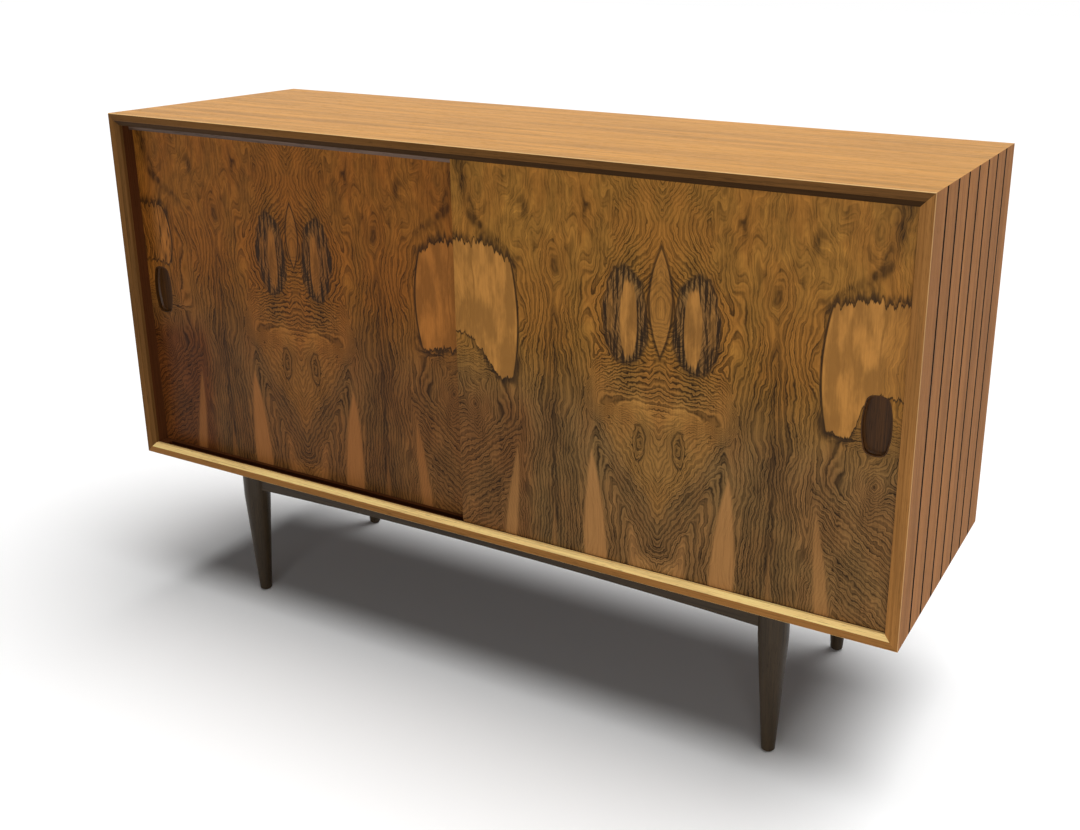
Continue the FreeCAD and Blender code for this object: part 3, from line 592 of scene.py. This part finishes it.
def dark_mask(n, at, within, pale, eye_zone, in_almond, almond_rim, leaf, outline):
    """Where the dark rims are: the island's line and smudged ends, and jagged streaks in the eye."""
    rim = together(n, n("MapRange", within, 0.8, -0.6, **SMOOTH),
                   n("MapRange", within, -4.2, -1.8, **SMOOTH))
    near_ends = n("MapRange", n("Math", n("Math", at.z, 316.0, **MINUS), **SIZE), 40, 66, **SMOOTH)
    blots = n("MapRange", wood_noise(n, at.seeded, 9, 18, 29, 3.0), 0.30, 0.50, **SMOOTH)
    smudge = together(n, n("MapRange", within, 1.0, -1.0, **SMOOTH),
                      n("MapRange", within, -15.0, -3.0, **SMOOTH), near_ends, blots,
                      n("MapRange", at.s, 190, 202, **SMOOTH))
    streaks = n("Math", eye_zone, 0.13, wood_noise(n, at.ragged, 3.0, 44, 31, 3.0), **TIMES_PLUS)
    streaks = n("MapRange", streaks, 0.570, 0.620, **SMOOTH)
    line = n("Math", n("Math", eye_zone, 1.0, **MINUS), **SIZE)
    line = n("MapRange", line, 0.06, 0.02, 0.0, outline, **SMOOTH)
    dark = together(n, n("Math", streaks, line, **LARGER), n("MapRange", eye_zone, 1.10, 0.96, **SMOOTH),
                    n("Math", 1.0, in_almond, **MINUS))
    for edge, strength in ((rim, 0.95), (smudge, 0.9), (almond_rim, 0.85)):
        dark = n("Math", dark, n("Math", edge, strength, **TIMES), **LARGER)
    dark = n("Math", dark, n("Math", 1.0, pale, **MINUS), **TIMES)
    in_island = n("MapRange", wood_noise(n, at.ragged, 3.4, 46, 43, 3.0), 0.53, 0.59, **SMOOTH)
    in_island = together(n, in_island, n("MapRange", within, -4.0, 2.0, **SMOOTH), leaf["streaked"])
    return n("Math", dark, in_island, **LARGER)


def bookmatched_rosewood(name, leaf, eyes, grounds, seam, outward, bottom, seed):
    """Sliced rosewood veneer with a wild figure, bookmatched at the door's middle, under satin lacquer.

    Dark lines 1 to 2 mm wide follow the contours of a height field. Pale sapwood shows as islands with dark
    ragged rims and as tongues from the bottom edge. The ground is golden above and umber below."""
    material, n = new_material(name)
    golden, umber, sapwood, tongue_wood = grounds
    at = leaf_places(n, seam, outward, bottom, seed)
    eye_zone = from_oval(n, at.figure, *eyes["zone"])
    parts = figure_parts(n, at, eye_zone)
    fibres = parts["fibres"]
    ground = ground_colour(n, at, parts, golden, umber, leaf["low_tint"])
    streaked = n("Mix", {0: n("Math", fibres, 0.2, **TIMES), 6: rgba(tongue_wood), 7: ground}, **COLOURS)
    colour = n("Mix", {0: tongues(n, at), 6: ground, 7: streaked}, **COLOURS)
    within = island(n, at, *leaf["island"])
    pale = pale_mask(n, at, within, leaf, eyes)
    in_almond, almond_rim = almond_masks(n, at, *eyes["almond"])
    dark = dark_mask(n, at, within, pale, eye_zone, in_almond, almond_rim, leaf, eyes["outline"])
    pale = n("Math", pale, n("Math", in_almond, 0.42, **TIMES), **LARGER)
    colour = n("Mix", {0: pale, 6: colour, 7: sapwood_colour(n, at, fibres, sapwood)}, **COLOURS)
    colour = n("Mix", {0: n("Math", dark, 0.9, **TIMES), 6: colour, 7: rgba(RIM_BROWN)}, **COLOURS)
    relief = n("Math", fibres, -0.5, n("Math", parts["thin"], -0.5, 1.0, **TIMES_PLUS), **TIMES_PLUS)
    roughness = n("MapRange", relief, 0.2, 1.0, 0.50, 0.36, **SMOOTH)
    shade(n, colour, roughness, relief, 0.06 * MM, Specular_IOR_Level=0.08)
    return material


# Pieces
# Each corner of the base, as the signs of its X and Y
CORNERS = {"front_left": (-1, -1), "back_left": (-1, 1), "front_right": (1, -1), "back_right": (1, 1)}
# Screws in the back panel: how far in from its edges, how many in a row, and how far the ones between the
# rows stand above and below the middle
BACK_INSET = 4 * MM
BACK_ROW = 6
BACK_SIDE_OFFSET = 87.5 * MM
# Screws in a corner block: how far in from its outer corner along X and Y, and the slot's turn
BLOCK_SCREWS = ((14 * MM, 32 * MM, 0.92), (32 * MM, 14 * MM, 1.64))


def give(material, *names):
    """Puts a finish on CAD nodes, over every slot that they have."""
    for name in names:
        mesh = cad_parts[name].data
        if not mesh.materials:
            mesh.materials.append(material)
        for slot in range(len(mesh.materials)):
            mesh.materials[slot] = material


def new_piece(name, shape, body, material):
    """Makes a bmesh one piece of the sideboard that rides on a body."""
    bmesh.ops.remove_doubles(shape, verts=shape.verts, dist=1e-6)
    bmesh.ops.recalc_face_normals(shape, faces=shape.faces)
    mesh = bpy.data.meshes.new(name)
    shape.to_mesh(mesh)
    shape.free()
    mesh.materials.append(material)
    piece = bpy.data.objects.new(name, mesh)
    bpy.context.scene.collection.objects.link(piece)
    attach(piece, body)
    return piece


def slotted_heads(head, places, facing):
    """Countersunk slotted screw heads a little proud of the wood, one for each place and turn."""
    proud, depth, rim, slot_depth = 0.3 * MM, 2.2 * MM, 0.5 * MM, 0.9 * MM
    radius, half_slot, shank = head / 2, 0.06 * head, 0.55
    shape = bmesh.new()
    bmesh.ops.create_circle(shape, cap_ends=True, segments=24, radius=radius - rim)
    for side in (-1, 1):
        bmesh.ops.bisect_plane(shape, geom=[*shape.verts, *shape.edges, *shape.faces], dist=1e-7,
                               plane_co=(0, side * half_slot, 0), plane_no=(0, 1, 0))
    strip = min(shape.faces, key=lambda f: abs(f.calc_center_median().y))
    floor = bmesh.ops.extrude_discrete_faces(shape, faces=[strip])["faces"][0]
    bmesh.ops.translate(shape, verts=list(floor.verts), vec=(0, 0, -slot_depth))
    # The worn rim, then the cone down to the shank
    for wide, drop in ((radius / (radius - rim), -0.15 * MM), (shank, 0.15 * MM - depth)):
        edge = [e for e in shape.edges if e.is_boundary]
        ring = bmesh.ops.extrude_edge_only(shape, edges=edge)["geom"]
        ring = [v for v in ring if isinstance(v, bmesh.types.BMVert)]
        bmesh.ops.scale(shape, verts=ring, vec=(wide, wide, 1))
        bmesh.ops.translate(shape, verts=ring, vec=(0, 0, drop))
    bmesh.ops.holes_fill(shape, edges=[e for e in shape.edges if e.is_boundary])
    first = [*shape.verts, *shape.edges, *shape.faces]
    lay = Vector(facing).to_track_quat("Z", "Y").to_matrix().to_4x4()
    for place, turn in places:
        copy = bmesh.ops.duplicate(shape, geom=first)["geom"]
        move = Matrix.Translation(Vector(place) + proud * Vector(facing))
        bmesh.ops.transform(shape, matrix=move @ lay @ Matrix.Rotation(turn, 4, "Z"),
                            verts=[v for v in copy if isinstance(v, bmesh.types.BMVert)])
    bmesh.ops.delete(shape, geom=[v for v in first if isinstance(v, bmesh.types.BMVert)], context="VERTS")
    return shape


def zinc_plated_steel():
    """Zinc-plated screw steel, dulled with age: grey with a soft mottled shine."""
    mottles_per_metre = 900.0
    material, n = new_material("zinc_plated_steel")
    mottle = n("TexNoise", n("TexCoord", out="Object"), None, mottles_per_metre, 2.0)
    colour = n("ValToRGB", mottle, stops=[(0.35, "#77746c"), (0.65, "#a8a59c")])
    shade(n, colour, n("MapRange", mottle, 0.0, 1.0, 0.30, 0.55), mottle, 0.02 * MM, Metallic=1.0)
    return material


class SIDEBOARD_OT_finish_case(bpy.types.Operator):
    """Puts lacquered teak, bare hardwood and plywood on the case's boards and fittings."""
    bl_idname = "sideboard.finish_case"
    bl_label = "Finish the case"

    def execute(self, context):
        finish = context.scene.sideboard_finish
        top, side, edge, inside = (tuple(c) for c in (finish.teak, finish.side, finish.edge, finish.inside))
        # A pale painted highlight on the bottom board's upward-facing moulding
        highlit_moulding = linear("#fad38a")
        # Each board's grain, the tones of its outer side, front band, moulding and the rest, and its seed.
        # The front bands and mouldings are lit and shaded tones of one edge wood: painted shade darkens the
        # top's band and the moulding under it most, and the left side's more than the right's, and the
        # bottom's moulding is a pale painted highlight. The underside has the tone of the inner faces.
        boards = {
            "top_panel": ("X", top, tone(edge, 0.45), tone(edge, 0.13), inside, 1.0),
            "bottom_panel": ("X", None, tone(edge, 0.9), highlit_moulding, inside, 2.0),
            "left_side_panel": ("Z", side, tone(edge, 0.55), tone(edge, 0.4), inside, 4.0),
            "right_side_panel": ("Z", side, tone(edge, 0.98), tone(edge, 1.1), inside, 5.0),
        }
        for board, wood in boards.items():
            give(lacquered_teak(f"lacquered_teak_{board}", board, *wood), board)
        # Bare beech, pale and even
        give(plain_wood("bare_beech_splines", "Z", "#b48d5d", "#c9a676", "#d8b98c"), "mitre_splines")
        # Beech grey-brown with wax and dust where the doors run
        give(plain_wood("waxed_beech_track", "X", "#46362b", "#655043", "#856c5c"), "upper_track_rib")
        # Plain teak veneer, mid brown with a satin sheen
        veneer = ("#75481f", "#96622f", "#b07a45")
        give(plain_wood("satin_teak_veneer_upright", "Z", *veneer), "centre_divider")
        give(plain_wood("satin_teak_veneer_lengthwise", "X", *veneer), "left_shelf", "right_shelf")
        # Solid teak strips, a shade darker than the shelves
        give(plain_wood("teak_shelf_lipping", "X", "#6c401d", "#8d5a2b", "#a8733f"), "left_shelf_lipping",
             "right_shelf_lipping")
        # Birch plywood, pale with broad soft bands and a thin dull seal
        give(plain_wood("sealed_birch_plywood", "X", "#a97f50", "#c09768", "#cfa877", band=60,
                        relief=0.05 * MM, film=(0.55, 0.7)), "back_panel")
        return {"FINISHED"}


class SIDEBOARD_OT_finish_doors(bpy.types.Operator):
    """Puts the bookmatched veneer on the doors, and plain woods on what carries it."""
    bl_idname = "sideboard.finish_doors"
    bl_label = "Finish the doors"

    def execute(self, context):
        finish = context.scene.sideboard_finish
        right = [tuple(c) for c in (finish.veneer, finish.veneer_low, finish.sapwood, finish.tongue)]
        # The left door's grounds are tinted redder and darkened with painted shade
        left = [tuple(c * part for c, part in zip(ground, LEFT_TINT_AND_SHADE)) for ground in right]
        for door, side, grounds, seed in (("left_door", -1, left, 3.1), ("right_door", 1, right, 2.6)):
            self.face_with_veneer(door, side, grounds, seed)
            # Birch plywood, seen only at the edges of the pull's pocket
            give(plain_wood(f"birch_plywood_core_{door}", "X", "#a27b4d", "#bd9566", "#cda878"),
                 f"{door}_core")
            # Solid hardwood strips, stained to the veneer's darkest brown
            give(plain_wood(f"dark_lipping_{door}", "Z", "#5c361a", "#774825", "#8d5a32"),
                 f"{door}_outer_lipping", f"{door}_inner_lipping")
            # Plain veneer with straight grain on the door's back
            give(plain_wood(f"straight_backing_veneer_{door}", "Z", "#6c4423", "#865830", "#9a6a3f"),
                 f"{door}_back_veneer")
        # Turned dark hardwood, oiled: strong streaks and a soft gloss in the hollow
        dark = tuple(finish.pull)
        give(plain_wood("oiled_dark_hardwood_pulls", "Z", tone(dark, 0.45), dark, tone(dark, 1.9), band=9,
                        streak=1.6, film=(0.34, 0.5), gloss=0.12, streaks=1.6), "left_door_pull",
             "right_door_pull")
        return {"FINISHED"}

    def face_with_veneer(self, door, side, grounds, seed):
        """Lays the outer and the inner leaf as mirror images about the door's middle."""
        low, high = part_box(f"{door}_outer_leaf")
        seam = low.x if side > 0 else high.x
        for leaf, outward in ((f"{door}_outer_leaf", side), (f"{door}_inner_leaf", -side)):
            leaf_seed = seed + 0.12 * outward
            give(bookmatched_rosewood(f"figured_rosewood_{leaf}", LEAVES[leaf], EYES[door], grounds, seam,
                                      outward, low.z, leaf_seed), leaf)


class SIDEBOARD_OT_finish_base(bpy.types.Operator):
    """Stains the legs and rails near black and leaves the corner blocks bare."""
    bl_idname = "sideboard.finish_base"
    bl_label = "Finish the base"

    def execute(self, context):
        # Beech under a near-black stain that lets the grain show, with a satin film
        stain = tuple(context.scene.sideboard_finish.base)
        tones = (tone(stain, 0.5), stain, tone(stain, 1.5))
        for way, along, names in (
                ("upright", "Z", ("front_left_leg", "front_right_leg", "back_right_leg", "back_left_leg")),
                ("lengthwise", "X", ("front_rail", "back_rail")),
                ("crosswise", "Y", ("left_rail", "right_rail"))):
            stained = plain_wood(f"black_stained_beech_{way}", along, *tones, band=10, film=(0.36, 0.55))
            give(stained, *names)
        # Bare pine, pale yellow and dull
        give(plain_wood("bare_pine_blocks", "X", "#b78850", "#cda66d", "#dbbb86", film=(0.6, 0.75)),
             *(f"{corner}_corner_block" for corner in CORNERS))
        return {"FINISHED"}


class SIDEBOARD_OT_add_screws(bpy.types.Operator):
    """Drives slotted screws through the back panel and up through the corner blocks."""
    bl_idname = "sideboard.add_screws"
    bl_label = "Add the screws"

    def execute(self, context):
        sizes = context.scene.sideboard_screws
        steel = zinc_plated_steel()
        heads = slotted_heads(sizes.back_head, self.back_places(), (0, 1, 0))
        new_piece("back_panel_screws", heads, "case", steel)
        heads = slotted_heads(sizes.base_head, self.base_places(), (0, 0, -1))
        new_piece("base_screws", heads, "case", steel)
        return {"FINISHED"}

    def back_places(self):
        """Places and turns of the screws round the back panel's edge and in the divider behind its middle."""
        low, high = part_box("back_panel")
        left, right = low.x + BACK_INSET, high.x - BACK_INSET
        row = [left + k * (right - left) / (BACK_ROW - 1) for k in range(BACK_ROW)]
        spots = [(x, z) for z in (low.z + BACK_INSET, high.z - BACK_INSET) for x in row]
        spots += [(x, (low.z + high.z) / 2 + offset) for x in (left, right, 0.0)
                  for offset in (-BACK_SIDE_OFFSET, BACK_SIDE_OFFSET)]
        return [((x, high.y, z), 0.9 * k) for k, (x, z) in enumerate(spots)]

    def base_places(self):
        """Places and turns of the screws under the corner blocks."""
        places = []
        for corner, (side_x, side_y) in CORNERS.items():
            low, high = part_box(f"{corner}_corner_block")
            x = high.x if side_x > 0 else low.x
            y = high.y if side_y > 0 else low.y
            for in_x, in_y, turn in BLOCK_SCREWS:
                places.append(((x - side_x * in_x, y - side_y * in_y, low.z), turn + side_x))
        return places


# Light and camera
FLOOR_HALF = 20.0
FLOOR_LIT, FLOOR_SEEN = "#b8b8b8", "#ffffff"
# The overhead lamp shines from this direction and is this wide
OVERHEAD_FROM = (0.26, 0.10, 1.0)
OVERHEAD_WIDTH = math.radians(52)
FRONT_LAMP_SIZE = (2.4, 0.5)
FRONT_LAMP_PLACE = (1.3, -3.0, 0.40)
FRONT_LAMP_TARGET = (0.2, -0.2, 0.45)
# The photograph's camera, solved from the case's corners: its image size, focal length and optical centre in
# pixels, its place in metres, its angles in radians, and Blender's sensor in millimetres
PHOTO_SIZE = (1080, 830)
FOCAL_LENGTH = 1216.88
OPTICAL_CENTRE = (626.04, 340.81)
CAMERA_PLACE = (0.90758, -1.42228, 0.99425)
CAMERA_TURN = math.radians(28.042)
CAMERA_TILT = math.radians(90 - 17.786)
CAMERA_ROLL = math.radians(0.43)
SENSOR_WIDTH = 36.0


def seen_directly(n):
    """1 for rays from the camera, a mirror or glass, which see a white background, and 0 for all others."""
    rays = [n("LightPath", out=f"Is {kind} Ray") for kind in ("Camera", "Glossy", "Transmission")]
    return n("Math", n("Math", rays[0], rays[1], **LARGER), rays[2], **LARGER)


class SIDEBOARD_OT_set_stage(bpy.types.Operator):
    """Sets the pale floor, the soft light and the camera of the photograph's view."""
    bl_idname = "sideboard.set_stage"
    bl_label = "Set the stage"

    def execute(self, context):
        scene = context.scene
        scene.view_settings.view_transform = "Standard"
        self.lay_floor(scene)
        self.light(scene, scene.sideboard_stage)
        self.aim_camera(scene)
        return {"FINISHED"}

    def lay_floor(self, scene):
        """A pale floor that is white to the camera where it is lit and keeps the shadow."""
        shape = bmesh.new()
        bmesh.ops.create_grid(shape, x_segments=1, y_segments=1, size=FLOOR_HALF)
        mesh = bpy.data.meshes.new("floor")
        shape.to_mesh(mesh)
        shape.free()
        material, n = new_material("matt_white_floor")
        seen = n("Mix", {0: seen_directly(n), 6: rgba(FLOOR_LIT), 7: rgba(FLOOR_SEEN)}, **COLOURS)
        n("OutputMaterial", n("BsdfDiffuse", seen, 0.0))
        mesh.materials.append(material)
        floor = bpy.data.objects.new("floor", mesh)
        scene.collection.objects.link(floor)

    def light(self, scene, levels):
        """A low even sky, a wide soft lamp overhead and a weaker one low at the right front."""
        world = bpy.data.worlds.new("studio")
        scene.world = world
        world.use_nodes = True
        world.node_tree.nodes.clear()
        n = functools.partial(node, world.node_tree)
        strength = n("MapRange", seen_directly(n), 0.0, 1.0, levels.sky, 1.0)
        n("OutputWorld", n("Background", rgba("#ffffff"), strength))
        overhead = bpy.data.lights.new("overhead_lamp", "SUN")
        overhead.angle = OVERHEAD_WIDTH
        overhead.energy = levels.overhead
        front = bpy.data.lights.new("front_lamp", "AREA")
        front.shape = "RECTANGLE"
        front.size, front.size_y = FRONT_LAMP_SIZE
        front.energy = levels.side
        for lamp, place, target in ((overhead, OVERHEAD_FROM, (0, 0, 0)),
                                    (front, FRONT_LAMP_PLACE, FRONT_LAMP_TARGET)):
            holder = bpy.data.objects.new(lamp.name, lamp)
            holder.location = place
            holder.rotation_euler = (Vector(place) - Vector(target)).to_track_quat("Z", "Y").to_euler()
            scene.collection.objects.link(holder)

    def aim_camera(self, scene):
        """The photograph's view: place, direction and field of view solved from the case's corners."""
        width, height = PHOTO_SIZE
        camera = bpy.data.cameras.new("photograph_view")
        camera.sensor_width = SENSOR_WIDTH
        camera.lens = SENSOR_WIDTH * FOCAL_LENGTH / width
        camera.shift_x = (width / 2 - OPTICAL_CENTRE[0]) / width
        camera.shift_y = (OPTICAL_CENTRE[1] - height / 2) / width
        camera.clip_start, camera.clip_end = 0.05, 50.0
        holder = bpy.data.objects.new("photograph_view", camera)
        aim = Matrix.Rotation(CAMERA_TURN, 4, "Z") @ Matrix.Rotation(CAMERA_TILT, 4, "X")
        aim = aim @ Matrix.Rotation(CAMERA_ROLL, 4, "Z")
        holder.matrix_world = Matrix.Translation(CAMERA_PLACE) @ aim
        scene.collection.objects.link(holder)
        scene.camera = holder


class SIDEBOARD_PT_tools(bpy.types.Panel):
    """Lists the sideboard's sizes, colours and steps."""
    bl_idname = "SIDEBOARD_PT_tools"
    bl_label = "Sideboard"
    bl_space_type = "VIEW_3D"
    bl_region_type = "UI"
    bl_category = "Sideboard"

    def draw(self, context):
        scene = context.scene
        for group in (scene.sideboard_finish, scene.sideboard_screws, scene.sideboard_stage):
            for name in group.bl_rna.properties.keys():
                if name not in ("rna_type", "name"):
                    self.layout.prop(group, name)
        for step in STEPS:
            self.layout.operator(step)


STEPS = ("sideboard.finish_case", "sideboard.finish_doors", "sideboard.finish_base", "sideboard.add_screws",
         "sideboard.set_stage")
CLASSES = (SideboardFinish, SideboardScrews, SideboardStage, SIDEBOARD_OT_finish_case,
           SIDEBOARD_OT_finish_doors, SIDEBOARD_OT_finish_base, SIDEBOARD_OT_add_screws,
           SIDEBOARD_OT_set_stage, SIDEBOARD_PT_tools)


def register():
    """Registers the classes and hangs their properties on the scene."""
    for made in CLASSES:
        bpy.utils.register_class(made)
    bpy.types.Scene.sideboard_finish = bpy.props.PointerProperty(type=SideboardFinish)
    bpy.types.Scene.sideboard_screws = bpy.props.PointerProperty(type=SideboardScrews)
    bpy.types.Scene.sideboard_stage = bpy.props.PointerProperty(type=SideboardStage)


def unregister():
    """Takes the properties and the classes away again."""
    del bpy.types.Scene.sideboard_stage
    del bpy.types.Scene.sideboard_screws
    del bpy.types.Scene.sideboard_finish
    for made in reversed(CLASSES):
        bpy.utils.unregister_class(made)


def main():
    """Registers the add-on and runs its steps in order."""
    register()
    bpy.ops.sideboard.finish_case()
    bpy.ops.sideboard.finish_doors()
    bpy.ops.sideboard.finish_base()
    bpy.ops.sideboard.add_screws()
    bpy.ops.sideboard.set_stage()


if __name__ == "__main__":
    main()
